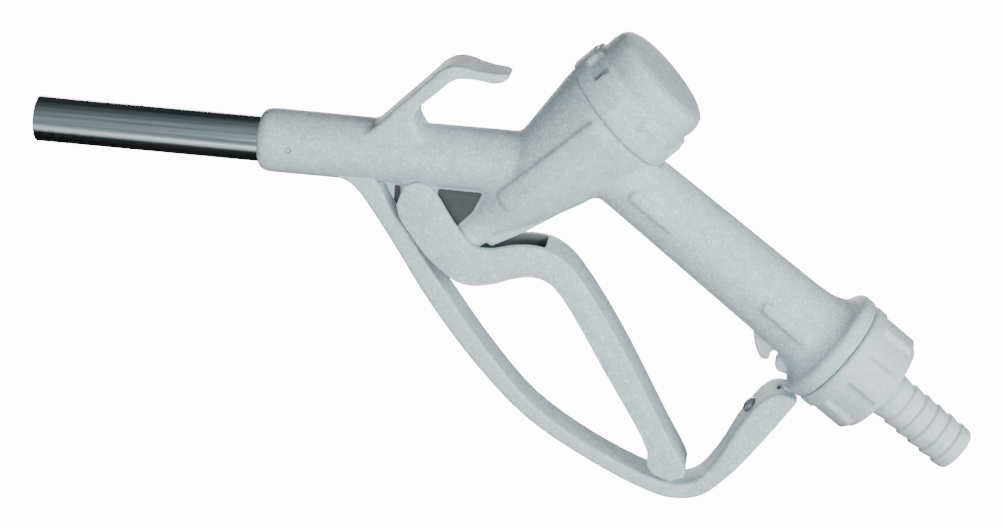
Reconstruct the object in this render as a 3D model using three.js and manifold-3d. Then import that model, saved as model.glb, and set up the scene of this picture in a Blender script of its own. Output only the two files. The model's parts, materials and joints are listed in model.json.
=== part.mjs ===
// Manual fuel nozzle: moulded polypropylene body with a stainless spout, a lever valve and a hose tail.
// Millimetres, +Z up. The nozzle lies in the XZ plane: the spout points to -X, the hose leaves to +X.
//
// The shapes are drawn with the mouth of the spout's sleeve at x = 0 and the spout's axis at z = 0.
// The finished group is then moved so that the origin is the centre of the hose tail's end.

import * as THREE from 'three';
import { mergeVertices } from 'three/addons/utils/BufferGeometryUtils.js';
import Module from 'manifold-3d';

const wasm = await Module();
wasm.setup();

// ---------------------------------------------------------------- driving dimensions

const GAP = 0.3;                       // clearance between neighbouring pieces

// spout and the straight body tube around the x axis
const SPOUT_R = 9.5;
const SPOUT_BORE_R = 8.3;
const SPOUT_LENGTH = 94.5;             // shown outside the sleeve
const SPOUT_SOCKET = 26;               // depth that the spout sits in the sleeve
const TUBE_R = 13.2;
const TUBE_END = 116;
const PASSAGE_R = 7.8;

// valve axis: crosses the spout axis at VALVE_X and rises at 45 degrees towards the hose
const VALVE_X = 122;
const VALVE_ANGLE = Math.PI / 4;
const HOUSING_TOP = 33.5;              // all stations below are measured along the valve axis
const HOUSING_TOP_R = 25.2;
const BOSS_END = -50.3;
const BOSS_R = 7.3;
const CAP_R = 26.9;
const CAP_TURN = THREE.MathUtils.degToRad(43);
const CHAMBER_R = 17.5;
const CHAMBER_FLOOR = 8;
const SEAT_BORE_R = 10.5;
const GUIDE_BORE_R = 6;
const STEM_R = 3;

// grip axis: leaves the valve axis at GRIP_X, GRIP_Z and falls at 36 degrees
const GRIP_X = 134;
const GRIP_Z = 12;
const GRIP_ANGLE = THREE.MathUtils.degToRad(-36);
const GRIP_START_R = 14.5;
const GRIP_END_R = 15.9;
const RING_START = 129;                // stations below are measured along the grip axis
const RING_END = 136;
const RING_R = 25;
const NECK_R = 17;
const NECK_END = 146;
const GRIP_BORE_R = 10.6;
const TAIL_END = 202;

// lever
const PIVOT_X = 67.5;
const PIVOT_Z = -18.5;
const PIVOT_R = 3;
const PIN_HALF = 9.2;                  // the pin's ends sit in blind sockets inside the fork's cheeks
const LEVER_HALF = 10.7;
const FORK_HALF = 7.7;                 // half the room between the fork's cheeks
const SLOT_HALF = 5.6;                 // and at the narrow end of that room
const LUG_HALF = 7.1;
const LUG_R = 6.6;

// guard and hook
const GUARD_HALF = 8.8;
const GUARD_REAR_HALF = 10.6;
const HOOK_HALF = 11;

const SEGMENTS = 24;

// ---------------------------------------------------------------- materials

const MOULDED = { color: 0xc9d2d6, roughness: 0.55, metalness: 0 };
const MOULDED_DARKER = { color: 0xbfc9ce, roughness: 0.58, metalness: 0 };
const STEEL = { color: 0x9aa0a4, roughness: 0.3, metalness: 1 };
const RUBBER = { color: 0x1d1f20, roughness: 0.7, metalness: 0 };
const NATURAL = { color: 0xe4e4dc, roughness: 0.5, metalness: 0 };

// ---------------------------------------------------------------- helpers

// A closed solid for joining and cutting, from any three.js geometry.
function solid(geometry) {
  const bare = geometry.index ? geometry.toNonIndexed() : geometry.clone();
  bare.deleteAttribute('normal');
  bare.deleteAttribute('uv');
  const merged = mergeVertices(bare, 1e-4);
  return new wasm.Manifold(new wasm.Mesh({
    numProp: 3,
    vertProperties: new Float32Array(merged.attributes.position.array),
    triVerts: new Uint32Array(merged.index.array),
  }));
}

function geometryOf(manifold) {
  const mesh = manifold.getMesh();
  const geometry = new THREE.BufferGeometry();
  geometry.setAttribute('position', new THREE.BufferAttribute(new Float32Array(mesh.vertProperties), 3));
  geometry.setIndex(new THREE.BufferAttribute(new Uint32Array(mesh.triVerts), 1));
  return geometry;
}

function union(...parts) {
  return parts.reduce((sum, part) => sum.add(part));
}

function cut(base, ...tools) {
  return tools.reduce((rest, tool) => rest.subtract(tool), base);
}

// Matrix that turns a shape drawn around +Y into the XZ plane, pointing at `angle` above +X from (x, z).
function axisFrame(x, z, angle) {
  const along = new THREE.Vector3(Math.cos(angle), 0, Math.sin(angle));
  const side = new THREE.Vector3(0, 1, 0);
  const normal = new THREE.Vector3().crossVectors(along, side);
  return new THREE.Matrix4().makeBasis(normal, along, side).setPosition(x, 0, z);
}

const SPOUT_AXIS = axisFrame(0, 0, 0);
const VALVE_AXIS = axisFrame(VALVE_X, 0, VALVE_ANGLE);
const GRIP_AXIS = axisFrame(GRIP_X, GRIP_Z, GRIP_ANGLE);

// Point in the XZ plane at station `along` of an axis and `off` to its upper side.
function onAxis(x, z, angle, along, off) {
  return [
    x + along * Math.cos(angle) - off * Math.sin(angle),
    z + along * Math.sin(angle) + off * Math.cos(angle),
  ];
}

const onValve = (along, off) => onAxis(VALVE_X, 0, VALVE_ANGLE, along, off);
const onGrip = (along, off) => onAxis(GRIP_X, GRIP_Z, GRIP_ANGLE, along, off);

// Solid of revolution from [radius, station] points, given from one end of the axis to the other.
function turned(axis, profile, segments = SEGMENTS) {
  const points = profile.map(([radius, station]) => new THREE.Vector2(radius, station));
  return solid(new THREE.LatheGeometry(points, segments).applyMatrix4(axis));
}

function rod(axis, radius, from, to, segments = SEGMENTS) {
  return turned(axis, [[0, from], [radius, from], [radius, to], [0, to]], segments);
}

// Ring with a square section.
function collar(axis, inner, outer, from, to, segments = SEGMENTS) {
  return turned(axis, [[inner, from], [outer, from], [outer, to], [inner, to], [inner, from]], segments);
}

// O-ring: a circle of radius `wire` carried around the axis.
function oRing(axis, radius, wire, station, segments = 20, sides = 6) {
  const profile = [];
  for (let i = 0; i <= sides; i += 1) {
    const turn = (i / sides) * 2 * Math.PI;
    profile.push([radius + wire * Math.cos(turn), station + wire * Math.sin(turn)]);
  }
  return turned(axis, profile, segments);
}

// Plate standing in the XZ plane, between y = from and y = to.
function plate(shape, from, to, curveSegments = 8) {
  const geometry = new THREE.ExtrudeGeometry(shape, {
    depth: to - from,
    bevelEnabled: false,
    curveSegments,
  });
  geometry.applyMatrix4(new THREE.Matrix4().makeRotationX(Math.PI / 2));
  geometry.translate(0, to, 0);
  return solid(geometry);
}

function outline(points) {
  return new THREE.Shape(points.map(([x, z]) => new THREE.Vector2(x, z)));
}

// Points along a smooth curve through the given ones.
function edgeCurve(points, steps, closed = false) {
  const through = points.map(([x, z]) => new THREE.Vector3(x, z, 0));
  const spline = new THREE.CatmullRomCurve3(through, closed, 'centripetal');
  return spline.getPoints(steps).map((p) => [p.x, p.y]);
}

// Closed smooth outline through the points.
function smoothOutline(points, steps) {
  return outline(edgeCurve(points, steps, true).slice(0, -1));
}

// Outline with every corner rounded off, each by its own radius: [x, z, radius].
function roundedOutline(corners, steps = 5) {
  const points = [];
  const count = corners.length;
  corners.forEach(([x, z, radius], i) => {
    const here = new THREE.Vector2(x, z);
    const before = new THREE.Vector2(...corners[(i + count - 1) % count]).sub(here);
    const after = new THREE.Vector2(...corners[(i + 1) % count]).sub(here);
    const room = 0.45 * Math.min(before.length(), after.length());
    const half = before.angleTo(after) / 2;
    before.normalize();
    after.normalize();
    if (!radius) {
      points.push([x, z]);
      return;
    }
    const reach = Math.min(radius / Math.tan(half), room);
    const start = here.clone().addScaledVector(before, reach);
    const end = here.clone().addScaledVector(after, reach);
    for (let s = 0; s <= steps; s += 1) {
      const t = s / steps;
      const p = start.clone().multiplyScalar((1 - t) ** 2)
        .addScaledVector(here, 2 * t * (1 - t))
        .addScaledVector(end, t ** 2);
      points.push([p.x, p.y]);
    }
  });
  return outline(points);
}

// Round pin across the nozzle, along y.
function crossPin(x, z, radius, from, to, segments = 20) {
  const geometry = new THREE.CylinderGeometry(radius, radius, to - from, segments);
  geometry.translate(x, (from + to) / 2, z);
  return solid(geometry);
}

// Ring of wide lobes for a hand-tightened nut: raised pads with shallow recesses between them.
function lobedPrism(axis, count, crest, recess, share, from, to, turn) {
  const points = [];
  const pitch = (2 * Math.PI) / count;
  const pad = pitch * share;
  const flank = THREE.MathUtils.degToRad(3);
  for (let i = 0; i < count; i += 1) {
    const start = turn + i * pitch;
    for (const [angle, radius] of [
      [flank, crest], [pad / 2, crest], [pad - flank, crest],
      [pad + flank, recess], [(pad + pitch) / 2, recess], [pitch - flank, recess],
    ]) {
      points.push([radius * Math.cos(start + angle), radius * Math.sin(start + angle)]);
    }
  }
  const geometry = new THREE.ExtrudeGeometry(outline(points), { depth: to - from, bevelEnabled: false });
  geometry.applyMatrix4(new THREE.Matrix4().makeRotationX(-Math.PI / 2));
  geometry.translate(0, from, 0);
  return solid(geometry.applyMatrix4(axis));
}

const nozzle = new THREE.Group();

function addPiece(name, shape, look) {
  const mesh = new THREE.Mesh(geometryOf(shape), new THREE.MeshStandardMaterial(look));
  mesh.name = name;
  nozzle.add(mesh);
}

// ---------------------------------------------------------------- body moulding

// Outer form of the valve housing: a rounded boss that widens into a cone.
const HOUSING_PROFILE = [
  [0, BOSS_END], [4.2, BOSS_END], [6.4, BOSS_END + 1.2], [BOSS_R, BOSS_END + 4], [BOSS_R + 0.1, -38],
  [10, -30], [13.2, -22], [17, -10], [19.6, 0], [21.6, 11], [24.4, 26], [HOUSING_TOP_R, HOUSING_TOP - 3],
  [HOUSING_TOP_R, HOUSING_TOP], [0, HOUSING_TOP],
];

const GRIP_PROFILE = [
  [0, 0], [GRIP_START_R, 0], [GRIP_START_R, 30], [GRIP_END_R, 112], [16.6, 120], [18.4, 125],
  [21.2, 127.8], [24, RING_START], [RING_R, RING_START + 1.4], [RING_R, RING_END - 0.8],
  [RING_R - 0.8, RING_END], [NECK_R, RING_END], [NECK_R, NECK_END], [0, NECK_END],
];

const raise = (profile, by) => profile.map(([radius, station]) => [radius > 0 ? radius + by : 0, station]);

// Side view of the hanging hook: over its back to the tip, then along its inner edge to the tube.
const HOOK_EDGE = [
  [40, 2], [46, 9.6], [53.2, 16.8], [66, 29.6], [70.8, 34.6], [74, 38], [77.6, 40.2], [81, 40.9], [85, 40.5],
  [90, 39.2], [95, 38.6], [99.4, 38.4], [101.8, 37.9], [102.3, 36.8], [100.8, 35.3], [98, 34.1], [95.4, 34],
  [90, 35.1], [85.5, 35.6], [81.7, 35.2], [78.9, 33.8], [75.3, 30.4], [71.6, 26.9], [68, 23.4], [65.6, 20.4],
  [64.8, 17.4], [65.6, 14.6], [67.4, 12.4], [68.4, 8], [68.4, 2],
];

// The hook narrows from its elbow to its tip.
function hook() {
  const fromAbove = outline([[30, -HOOK_HALF], [86, -HOOK_HALF], [105, -6], [105, 6], [86, HOOK_HALF],
    [30, HOOK_HALF]]);
  const narrowing = new THREE.ExtrudeGeometry(fromAbove, { depth: 50, bevelEnabled: false });
  return plate(outline(edgeCurve(HOOK_EDGE, 84)), -HOOK_HALF, HOOK_HALF).intersect(solid(narrowing));
}

// Narrow rib under the housing, and the web that carries the lever's pivot.
function ribs() {
  const lower = outline([
    [95, -30], [98, -36.4], [112.2, -28.6], [123.5, -21], [132.8, -14.2], [137.5, -11.8], [144, -10],
    [118, -10],
  ]);
  const web = outline([
    [51.4, -8], [53.4, -14], [56.4, -19.4], [59.6, -23.2], [66, -26], [72, -26.4], [78, -28.6], [83.2, -31.8],
    [96, -20], [100, -8],
  ]);
  return union(plate(lower, -4.2, 4.2), plate(web, -3.6, 3.6));
}

function pivotLug() {
  const neck = outline([
    [PIVOT_X - LUG_R, -8], [PIVOT_X - LUG_R, PIVOT_Z], [PIVOT_X + LUG_R, PIVOT_Z], [PIVOT_X + LUG_R, -8],
  ]);
  return union(plate(neck, -LUG_HALF, LUG_HALF), crossPin(PIVOT_X, PIVOT_Z, LUG_R, -LUG_HALF, LUG_HALF, 24));
}

// Two hooked teeth under the end of the grip, which hold the lever open.
function teeth() {
  const front = smoothOutline([
    onGrip(103, -13), onGrip(105.5, -17), onGrip(110, -20.6), onGrip(114.6, -22.4), onGrip(117, -20.6),
    onGrip(115.6, -18), onGrip(114.8, -13),
  ], 24);
  const rear = smoothOutline([
    onGrip(118.6, -13), onGrip(119.2, -17), onGrip(120, -20.4), onGrip(122.4, -22), onGrip(125.8, -21.2),
    onGrip(127.4, -17), onGrip(127, -13),
  ], 24);
  return union(plate(front, -4.5, 4.5), plate(rear, -4.5, 4.5));
}

// Tongue of the end ring that the guard's slotted end is screwed to.
const TONGUE_HALF = 2.8;
const TONGUE = [onGrip(130, -14), onGrip(135.6, -14), onGrip(135.6, -26), [220.4, -101.5], [215.2, -97.5]];

// Raised bars on the grip and a long raised panel on the housing, the same on both sides.
function reliefs() {
  const bar = (from, to) => roundedOutline([
    [...onGrip(from, -3.2), 1.2], [...onGrip(to, -3.2), 1.2],
    [...onGrip(to, 1.8), 1.2], [...onGrip(from, 1.8), 1.2],
  ], 2);
  const panel = roundedOutline([
    [...onValve(-24, -1), 4], [...onValve(31, -1.2), 1.5], [...onValve(31, 8), 1.5], [...onValve(-24, 8), 4],
  ], 4);
  const skin = turned(GRIP_AXIS, raise(GRIP_PROFILE.slice(0, 5).concat([[0, 121]]), 0.7));
  const housing = turned(VALVE_AXIS, raise(HOUSING_PROFILE, 0.8));
  return union(
    plate(bar(27, 49.5), -30, 30).intersect(skin),
    plate(bar(97.5, 120), -30, 30).intersect(skin),
    plate(panel, -40, 40).intersect(housing),
  );
}

const GUARD_TENON = { left: 41.5, right: 48.5, half: 5, top: -9.4 };
const SPOUT_PIN_X = 14;

function nozzleBody() {
  const tube = turned(SPOUT_AXIS, [
    [0, 0], [9.8, 0], [11.6, 0.8], [12.8, 2.2], [TUBE_R, 4.2], [TUBE_R, 40], [12.9, 70],
    [13.1, TUBE_END], [0, TUBE_END],
  ]);
  const outer = union(
    tube,
    turned(VALVE_AXIS, HOUSING_PROFILE),
    turned(GRIP_AXIS, GRIP_PROFILE),
    hook(),
    ribs(),
    pivotLug(),
    teeth(),
    plate(outline(TONGUE), -TONGUE_HALF, TONGUE_HALF),
    reliefs(),
  );
  const bores = union(
    rod(SPOUT_AXIS, SPOUT_R + GAP, -5, SPOUT_SOCKET),
    rod(SPOUT_AXIS, PASSAGE_R, SPOUT_SOCKET - 1, VALVE_X),
    rod(VALVE_AXIS, 9.4, -14, 5),
    rod(VALVE_AXIS, SEAT_BORE_R, 4, CHAMBER_FLOOR + 1),
    rod(VALVE_AXIS, CHAMBER_R, CHAMBER_FLOOR, HOUSING_TOP + 5),
    rod(VALVE_AXIS, GUIDE_BORE_R, BOSS_END - 5, -13),
    turned(GRIP_AXIS, [[0, 12], [GRIP_BORE_R - 2.4, 12], [GRIP_BORE_R - 2.4, 96], [GRIP_BORE_R, 98],
      [GRIP_BORE_R, NECK_END + 5], [0, NECK_END + 5]]),
  );
  const pocket = plate(outline([
    [GUARD_TENON.left - GAP, -16], [GUARD_TENON.right + GAP, -16],
    [GUARD_TENON.right + GAP, GUARD_TENON.top + GAP], [GUARD_TENON.left - GAP, GUARD_TENON.top + GAP],
  ]), -GUARD_TENON.half - GAP, GUARD_TENON.half + GAP);
  // flats beside the pivot lug, where the fork of the lever swings
  const cheekRoom = (side) => {
    const swing = new THREE.CylinderGeometry(10.2, 10.2, 10, 20);
    swing.translate(PIVOT_X, side * (LUG_HALF + 5.2), PIVOT_Z);
    return solid(swing);
  };
  return cut(
    outer,
    bores,
    pocket,
    cheekRoom(1),
    cheekRoom(-1),
    crossPin(PIVOT_X, PIVOT_Z, PIVOT_R + 0.15, -20, 20),
    crossPin(SPOUT_PIN_X, 0, 1.35, -20, -8, 12),
    seatGroove(),
    screwHole(1.6),
    rod(VALVE_AXIS, CAP_R + 0.5, HOUSING_TOP, HOUSING_TOP + 40),
  );
}

// Shallow groove that leaves a raised lip around the seat for the rubber face to close on.
function seatGroove() {
  return collar(VALVE_AXIS, 12.2, 15.5, CHAMBER_FLOOR - 0.8, CHAMBER_FLOOR + 0.2);
}

// ---------------------------------------------------------------- guard and its screw

// Station of the screw on the guard's rear arm, and the direction of its axis in the XZ plane.
const SCREW_HEAD = [211, -95.8];
const SCREW_ANGLE = THREE.MathUtils.degToRad(-32);
const SCREW_AXIS = axisFrame(...SCREW_HEAD, SCREW_ANGLE);

function screwHole(radius) {
  return rod(SCREW_AXIS, radius, -4, 13, 16);
}

// Outer and inner edge of the guard as two rows of points from the front foot to the rear end.
const GUARD_OUTER = [
  [31, -10.6], [35.4, -11.5], [39.8, -13.5], [43.7, -17.2], [47.4, -22], [56, -34], [75, -62], [96, -87.5],
  [118, -108.4], [145, -124.6], [171, -136],
  [182, -138.3], [193.2, -136], [204, -126], [217.6, -107.8], [230.4, -88.2],
];
const GUARD_INNER = [
  [226.4, -86.6], [221.4, -86.2], [216.8, -88.4], [207.7, -100.8], [199.4, -117.8], [191, -129],
  [182.5, -131.6], [171.5, -129.2], [146, -118.2], [120.5, -102], [101, -81.4], [82, -57], [62.2, -29.8],
  [58, -24.4], [54.9, -18.8], [52.2, -14.4], [50, -11.6],
];

function leverGuard() {
  const side = outline([[31, -6], ...edgeCurve(GUARD_OUTER, 44), ...edgeCurve(GUARD_INNER, 46), [50, -6]]);
  const strap = plate(side, -GUARD_HALF, GUARD_HALF);
  // the rear arm is wider than the rest, to carry the slot for the tongue
  const wide = plate(side, -GUARD_REAR_HALF, GUARD_REAR_HALF).intersect(plate(outline([
    [192, -145], [240, -145], [240, -70], [214, -70], [204, -100],
  ]), -20, 20));
  const tenon = plate(outline([
    [GUARD_TENON.left, -14], [GUARD_TENON.right, -14],
    [GUARD_TENON.right, GUARD_TENON.top], [GUARD_TENON.left, GUARD_TENON.top],
  ]), -GUARD_TENON.half, GUARD_TENON.half);
  const saddle = rod(SPOUT_AXIS, TUBE_R + GAP, 20, 80);
  const slot = plate(outline([
    onGrip(127, -12), onGrip(139, -12), [222.4, -103.4], [213.4, -98.6],
  ]), -TONGUE_HALF - GAP, TONGUE_HALF + GAP);
  return cut(
    union(strap.subtract(saddle), wide, tenon),
    slot,
    screwHole(2.3),
    rod(SCREW_AXIS, 3.9, -6, 0, 20),
    rod(GRIP_AXIS, RING_R + GAP, RING_START - 14, RING_END + 12),
  );
}

function guardScrew() {
  const shank = rod(SCREW_AXIS, 1.3, -0.5, 7.2, 16);
  const head = turned(SCREW_AXIS, [[0, -2.6], [2, -2.3], [3.1, -1.4], [3.5, -0.3], [0, -0.3]], 20);
  const crossSlot = (across) => {
    const bar = new THREE.BoxGeometry(across ? 3.6 : 0.7, 1.4, across ? 0.7 : 3.6);
    bar.translate(0, -2.4, 0);
    return solid(bar.applyMatrix4(SCREW_AXIS));
  };
  return cut(union(shank, head), crossSlot(true), crossSlot(false));
}

// ---------------------------------------------------------------- spout

function spoutTube() {
  return turned(SPOUT_AXIS, [
    [SPOUT_BORE_R, -SPOUT_LENGTH + 0.3], [SPOUT_BORE_R + 0.2, -SPOUT_LENGTH], [SPOUT_R - 0.3, -SPOUT_LENGTH],
    [SPOUT_R, -SPOUT_LENGTH + 0.3], [SPOUT_R, SPOUT_SOCKET - 12.5], [SPOUT_R - 0.7, SPOUT_SOCKET - 11.9],
    [SPOUT_R - 0.7, SPOUT_SOCKET - 9.6], [SPOUT_R, SPOUT_SOCKET - 9], [SPOUT_R, SPOUT_SOCKET - GAP],
    [SPOUT_BORE_R, SPOUT_SOCKET - GAP], [SPOUT_BORE_R, -SPOUT_LENGTH + 0.3],
  ]);
}

// ---------------------------------------------------------------- valve

const SEAL_FACE = CHAMBER_FLOOR + GAP;
const POPPET_TOP = 18;

function valveCap() {
  const outer = union(
    turned(VALVE_AXIS, [
      [0, HOUSING_TOP + GAP], [CAP_R - 0.8, HOUSING_TOP + GAP], [CAP_R, HOUSING_TOP + 1.2], [CAP_R, 40],
      [CAP_R - 0.7, 40.8], [0, 40.8],
    ]),
    lobedPrism(VALVE_AXIS, 6, CAP_R, 24.9, 0.6, 40, 47.8, CAP_TURN),
    turned(VALVE_AXIS, [
      [0, 46], [24.2, 46], [24.6, 53], [24.2, 56.6], [22.8, 59], [20, 60.6], [16.8, 61], [15.8, 61],
      [15.2, 60.4], [0, 60.4],
    ]),
    rod(VALVE_AXIS, CHAMBER_R - GAP, 24, HOUSING_TOP + 2),
  );
  return cut(
    outer,
    rod(VALVE_AXIS, 11.5, 23, 49),
    collar(VALVE_AXIS, CHAMBER_R - 2.4, CHAMBER_R + 1, 26.4, 29.2),
  );
}

function mainSpring() {
  const bottom = 14.1;
  const top = 47.6;
  const turns = 6;
  class Helix extends THREE.Curve {
    getPoint(t, target = new THREE.Vector3()) {
      const angle = t * turns * 2 * Math.PI;
      return target.set(8 * Math.cos(angle), bottom + (top - bottom) * t, 8 * Math.sin(angle));
    }
  }
  const wire = new THREE.Shape();
  wire.absarc(0, 0, 0.95, 0, 2 * Math.PI);
  const geometry = new THREE.ExtrudeGeometry(wire, {
    extrudePath: new Helix(), steps: turns * 12, curveSegments: 2, bevelEnabled: false,
  });
  return solid(geometry.applyMatrix4(VALVE_AXIS));
}

function valvePoppet() {
  const disc = turned(VALVE_AXIS, [
    [0, SEAL_FACE + 1.8], [13.6, SEAL_FACE + 1.8], [14, SEAL_FACE + 2.4], [14, 12.2], [13, 12.9], [6.4, 12.9],
    [5.6, 14], [5.6, POPPET_TOP], [0, POPPET_TOP],
  ]);
  return cut(disc, rod(VALVE_AXIS, STEM_R + GAP, 0, 16.4, 24));
}

function valveStem() {
  return turned(VALVE_AXIS, [[0, -57.2], [STEM_R - 0.4, -57.2], [STEM_R, -56.6], [STEM_R, 16], [0, 16]], 24);
}

function stemGuide() {
  const bush = turned(VALVE_AXIS, [
    [0, BOSS_END + 0.4], [GUIDE_BORE_R - GAP, BOSS_END + 0.4], [GUIDE_BORE_R - GAP, -20], [0, -20],
  ], 20);
  return cut(
    bush,
    rod(VALVE_AXIS, STEM_R + GAP, -60, -10, 20),
    rod(VALVE_AXIS, 5, -29.4, -27, 20),
    rod(VALVE_AXIS, 5, -36.4, -34, 20),
  );
}

function stemButton() {
  const cap = turned(VALVE_AXIS, [
    [0, -59.6], [1.8, -59.3], [3.6, -58.4], [4.6, -57], [4.6, -55.9], [0, -55.9],
  ], 24);
  return cut(cap, rod(VALVE_AXIS, STEM_R + GAP, -57.5, -50, 24));
}

// ---------------------------------------------------------------- lever

// Side view of the lever: lower edge from the pivot end to the tip, then back along the upper edge.
const LEVER_LOWER = [
  [59.2, -19.6], [60.6, -25], [66.2, -33], [73, -41.2], [79.4, -46.6], [85.6, -50.6], [92.6, -51.8],
  [101.4, -50], [109.6, -47], [116.4, -45.6], [123.4, -47.2], [129.6, -53], [149.4, -83.4], [170, -117.4],
  [170.2, -123], [173, -127.2], [180.6, -129.8],
];
const LEVER_UPPER = [
  [186.2, -127.4], [186.4, -124.4], [176.4, -107], [153.4, -67.6], [137.4, -44.8], [130.6, -37.6],
  [123.6, -33.6], [116, -32.4], [107.4, -33.2], [98.4, -35.4], [91.4, -34.6], [86.4, -29.6], [80.8, -22],
  [76.4, -15.4], [73, -11.6], [67.5, -9.6], [62, -11.6],
];

function lever() {
  const side = outline([...edgeCurve(LEVER_LOWER, 30), ...edgeCurve(LEVER_UPPER, 32)]);
  // the room between the fork's cheeks: open above, floored by the back wall that the stem rests on
  const forkRoom = roundedOutline([
    [50, -22, 0], [50, 0, 0], [118, 0, 0], [123, -30, 0], [118, -40.5, 3], [102, -46.4, 3], [94, -48.6, 3],
    [...onValve(-60, -6.4), 2], [...onValve(-60, 6.4), 2], [66.6, -29.8, 4], [62, -26.5, 2],
  ], 3);
  const wideRoom = plate(outline([[40, -70], [40, 10], [114, 10], [114, -70]]), -20, 20);
  const room = union(
    plate(forkRoom, -FORK_HALF, FORK_HALF).intersect(wideRoom),
    plate(forkRoom, -SLOT_HALF, SLOT_HALF),
  );
  return cut(
    plate(side, -LEVER_HALF, LEVER_HALF),
    room,
    crossPin(PIVOT_X, PIVOT_Z, PIVOT_R + GAP, -PIN_HALF - GAP, PIN_HALF + GAP),
  );
}

function leverPin() {
  return crossPin(PIVOT_X, PIVOT_Z, PIVOT_R - 0.15, -PIN_HALF, PIN_HALF, 24);
}

// ---------------------------------------------------------------- hose end

const NUT_START = RING_END + 0.5;
const NUT_END = 160;
const NUT_TURN = THREE.MathUtils.degToRad(57);

function unionNut() {
  const outer = union(
    turned(GRIP_AXIS, [
      [0, NUT_START], [23.8, NUT_START], [24.5, NUT_START + 0.8], [24.5, 141.8], [23.4, 143], [0, 143],
    ]),
    lobedPrism(GRIP_AXIS, 5, 23.6, 21.8, 0.5, 142, NUT_END - 2.6, NUT_TURN),
    turned(GRIP_AXIS, [[0, 150], [21.2, 150], [22, 157], [20.8, NUT_END], [0, NUT_END]]),
  );
  return cut(
    outer,
    rod(GRIP_AXIS, NECK_R + GAP, NUT_START - 3, 153.4),
    rod(GRIP_AXIS, 11.2, 150, NUT_END + 3),
  );
}

function hoseTail() {
  const barbs = 6;
  const first = 164;
  const pitch = (TAIL_END - first) / barbs;
  const profile = [[7, 148], [15.6, 148], [15.6, 153], [10.7, 153], [10.7, first - 1.5], [9.2, first]];
  for (let i = 0; i < barbs; i += 1) {
    const start = first + i * pitch;
    if (i > 0) {
      profile.push([9.2, start]);
    }
    profile.push([10.2, start + 0.9]);
    if (i < barbs - 1) {
      profile.push([9.3, start + pitch - 0.05]);
    }
  }
  profile.push([9.7, TAIL_END - 1.2], [8.9, TAIL_END], [7, TAIL_END], [7, 148]);
  return turned(GRIP_AXIS, profile);
}

function inletStrainer() {
  const basket = turned(GRIP_AXIS, [
    [0, 104], [8.4, 104], [9, 104.6], [9.9, 143], [9.9, NECK_END - GAP], [9, NECK_END - GAP], [9, 143],
    [8.2, 105], [0, 105],
  ], 28);
  const slots = [];
  for (let i = 0; i < 4; i += 1) {
    const slot = new THREE.BoxGeometry(3, 28, 30);
    slot.rotateY((i * Math.PI) / 4);
    slot.translate(0, 124, 0);
    slots.push(solid(slot.applyMatrix4(GRIP_AXIS)));
  }
  return cut(basket, ...slots);
}

// ---------------------------------------------------------------- assembly

addPiece('nozzle_body', nozzleBody(), MOULDED);
addPiece('lever_guard', leverGuard(), MOULDED);
addPiece('guard_screw', guardScrew(), STEEL);
addPiece('spout_tube', spoutTube(), STEEL);
addPiece('spout_seal', oRing(SPOUT_AXIS, SPOUT_R - 0.02, 0.28, SPOUT_SOCKET - 10.75), RUBBER);
addPiece('spout_pin', crossPin(SPOUT_PIN_X, 0, 1.1, -13, -SPOUT_R - 0.15, 12), MOULDED_DARKER);
addPiece('valve_cap', valveCap(), MOULDED);
addPiece('valve_cap_seal', oRing(VALVE_AXIS, CHAMBER_R - 1.2, 0.85, 27.8), RUBBER);
addPiece('main_spring', mainSpring(), STEEL);
addPiece('valve_poppet', valvePoppet(), NATURAL);
addPiece('poppet_seal', collar(VALVE_AXIS, 4.6, 13, SEAL_FACE, SEAL_FACE + 1.5), RUBBER);
addPiece('seal_retainer', collar(VALVE_AXIS, STEM_R + GAP, 8, 5.2, SEAL_FACE - GAP, 24), STEEL);
addPiece('valve_stem', valveStem(), STEEL);
addPiece('stem_guide', stemGuide(), NATURAL);
addPiece('stem_seal_upper', oRing(VALVE_AXIS, 4.1, 0.75, -28.2), RUBBER);
addPiece('stem_seal_lower', oRing(VALVE_AXIS, 4.1, 0.75, -35.2), RUBBER);
addPiece('stem_button', stemButton(), NATURAL);
addPiece('lever', lever(), MOULDED);
addPiece('lever_pin', leverPin(), MOULDED_DARKER);
addPiece('union_nut', unionNut(), MOULDED);
addPiece('hose_tail', hoseTail(), MOULDED);
addPiece('tail_gasket', collar(GRIP_AXIS, 9.4, 15.8, NECK_END + GAP, 148 - GAP, 32), RUBBER);
addPiece('inlet_strainer', inletStrainer(), STEEL);

const [endX, endZ] = onGrip(TAIL_END, 0);
nozzle.position.set(-endX, 0, -endZ);

export default nozzle;
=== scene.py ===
# %% [markdown]
# A hand-held fuel nozzle. The real one is a hollow moulded plastic body with a steel spout pushed into
# one end, a lever valve inside, a loop guard around the lever, and a barbed tail for the hose.
# This lesson loads the measured model first and then rebuilds each outer piece with softer edges.

# %% Load the measured model
import json
import math
import bpy
from mathutils import Matrix, Vector
from mathutils.geometry import interpolate_bezier

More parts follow.
